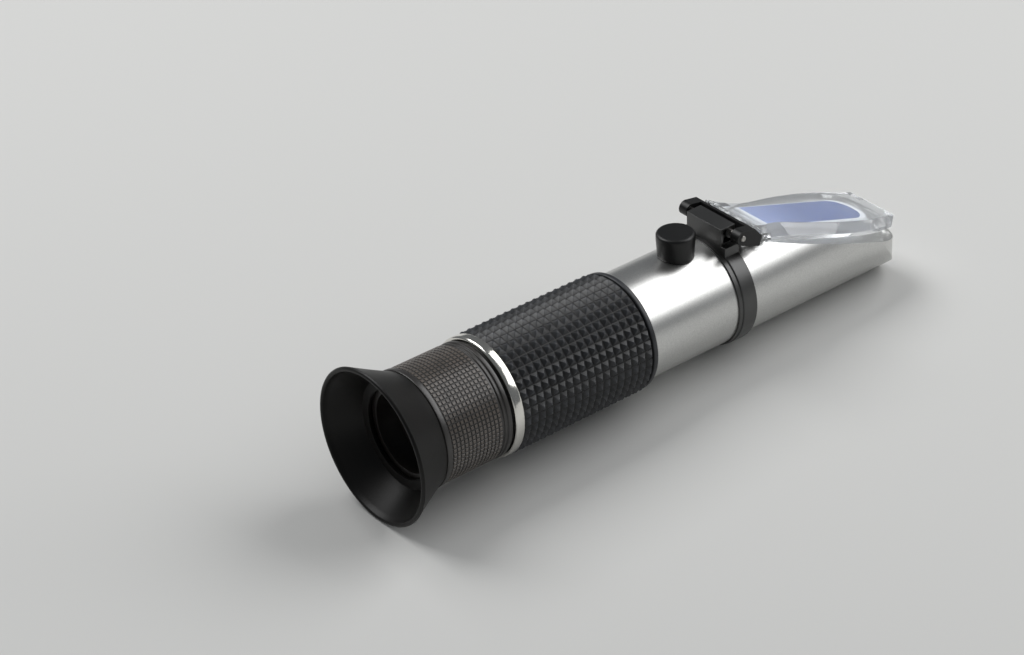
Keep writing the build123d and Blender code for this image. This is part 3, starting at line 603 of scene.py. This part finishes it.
# %% Grip
studs = studded_sleeve(
    "studded_grip", (-52.75, -14.5), 14.22, (18, 38), 0.2, ((0.07, 0), (0.86, 0.84))
)
stud_crease = math.radians(25)
rounding = studs.modifiers.new("rounding", "BEVEL")
rounding.width = 0.06 / 1000
rounding.segments = 2
rounding.limit_method = "ANGLE"
rounding.angle_limit = stud_crease
bpy.ops.object.modifier_apply(modifier="rounding")
bpy.ops.object.shade_smooth_by_angle(angle=stud_crease)
outline = [
    (-52.8, 13.52), (-52.8, 14.1), (-14.5, 14.1), (-14.4, 14.75), (-13.2, 14.75), (-13.1, 14.5),
    (-13.1, 13.52),
]
skin = turned("grip_skin", outline, 128, 0.25)
bpy.ops.object.select_all(action="DESELECT")
skin.select_set(True)
studs.select_set(True)
bpy.context.view_layer.objects.active = studs
bpy.ops.object.join()
finished(studs, grip_rubber, "barrel", "black_rubber", "rubber_grip")

# %% [markdown]
# ## Trim ring
# A bright ring with well-rounded edges, against the rear end of the grip. The washer behind it
# shows as a dark gap before the focus ring.

# %% Trim ring
outline = [
    (-55.45, 13.52), (-55.45, 14.55), (-55.05, 14.9), (-53.2, 14.9), (-52.8, 14.6), (-52.8, 13.52),
]
trim = turned("rounded_trim_ring", outline, 160, 0.22)
finished(trim, polished_chrome, "barrel", "chrome_plate", "trim_ring")
outline = [
    (-56.25, 13.4), (-56.25, 13.62), (-55.4, 13.62), (-55.4, 13.52), (-56.2, 13.52), (-56.2, 13.4),
]
gap = turned("gap_washer", outline, 96, 0)
finished(gap, hinge_nylon, "barrel", "black_plastic")

# %% [markdown]
# ## Floor
# The instrument rests on the rim of its eyecup and the underside of its nose, so the floor
# is tilted by about two degrees against the optical axis. It touches the middle of the rim's
# rounding and the nose just behind its rounded edge, and lies a hair below both. It is a
# plain pale matt sheet.

# %% Floor
rim_rounding, nose_rounding, clearance = 0.0006, 0.0005, 0.0001
cup_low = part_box("eyecup")[0]
head_low, head_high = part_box("prism_head")
rest_rear = Vector((cup_low[0] + rim_rounding, 0, cup_low[2]))
rest_front = Vector((head_high[0] - nose_rounding, 0, head_low[2]))
lean = math.atan2(rest_front.z - rest_rear.z, rest_front.x - rest_rear.x)
print("floor's tilt, degrees:", round(math.degrees(lean), 2))
bpy.ops.object.select_all(action="DESELECT")
bpy.ops.mesh.primitive_grid_add(x_subdivisions=2, y_subdivisions=2, size=6.0)
floor = bpy.context.object
floor.name = "floor"
just_below = Matrix.Translation(rest_rear + Vector((0, 0, -clearance)))
floor.matrix_world = just_below @ Matrix.Rotation(-lean, 4, "Y")
bpy.ops.object.transform_apply(location=True, rotation=True, scale=True)
paper, tree, shader, place = new_material("matt_paper")
shader.inputs["Base Color"].default_value = colour("#D2D2D0")
shader.inputs["Roughness"].default_value = 0.9
shader.inputs["Specular IOR Level"].default_value = 0.2
floor.data.materials.append(paper)

# %% [markdown]
# ## Light
# A large soft key lamp stands behind and above the instrument. A second one stands to the
# camera's right, where the near side of the barrel mirrors it as a broad white highlight. A
# dim even world fills the rest. A lamp shines along its own -Z, so the columns of its matrix
# are its long side, its short side and the way back from the instrument.

# %% Light
def soft_lamp(name, place, long_way, sizes, power):
    """A rectangular soft lamp that looks at the instrument, its long side along long_way."""
    data = bpy.data.lights.new(name, "AREA")
    data.shape = "RECTANGLE"
    data.size, data.size_y = sizes
    data.energy = power
    lamp = bpy.data.objects.new(name, data)
    bpy.context.scene.collection.objects.link(lamp)
    back = Vector(place).normalized()
    side = Vector(long_way)
    side = (side - side.dot(back) * back).normalized()
    turn = Matrix((side, back.cross(side), back)).transposed()
    lamp.matrix_world = Matrix.Translation(place) @ turn.to_4x4()
    print(name, "stands", round(Vector(place).length, 2), "m away")


soft_lamp("key_softbox", (-0.2, 0.58, 0.74), (1, 0, 0), (0.6, 0.6), 5.5)
soft_lamp("side_softbox", (0.63, -0.26, 0.66), (0, 0.93, 0.37), (1.1, 0.6), 6.5)
world = bpy.data.worlds.new("studio")
bpy.context.scene.world = world
world.use_nodes = True
background = world.node_tree.nodes["Background"]
background.inputs["Color"].default_value = colour("#C8CCD0")
background.inputs["Strength"].default_value = 0.25
bpy.context.scene.view_settings.view_transform = "Standard"

# %% [markdown]
# ## End
# The dressed model has to stay inside the box of the CAD model.

# %% End
print("scene dressed")
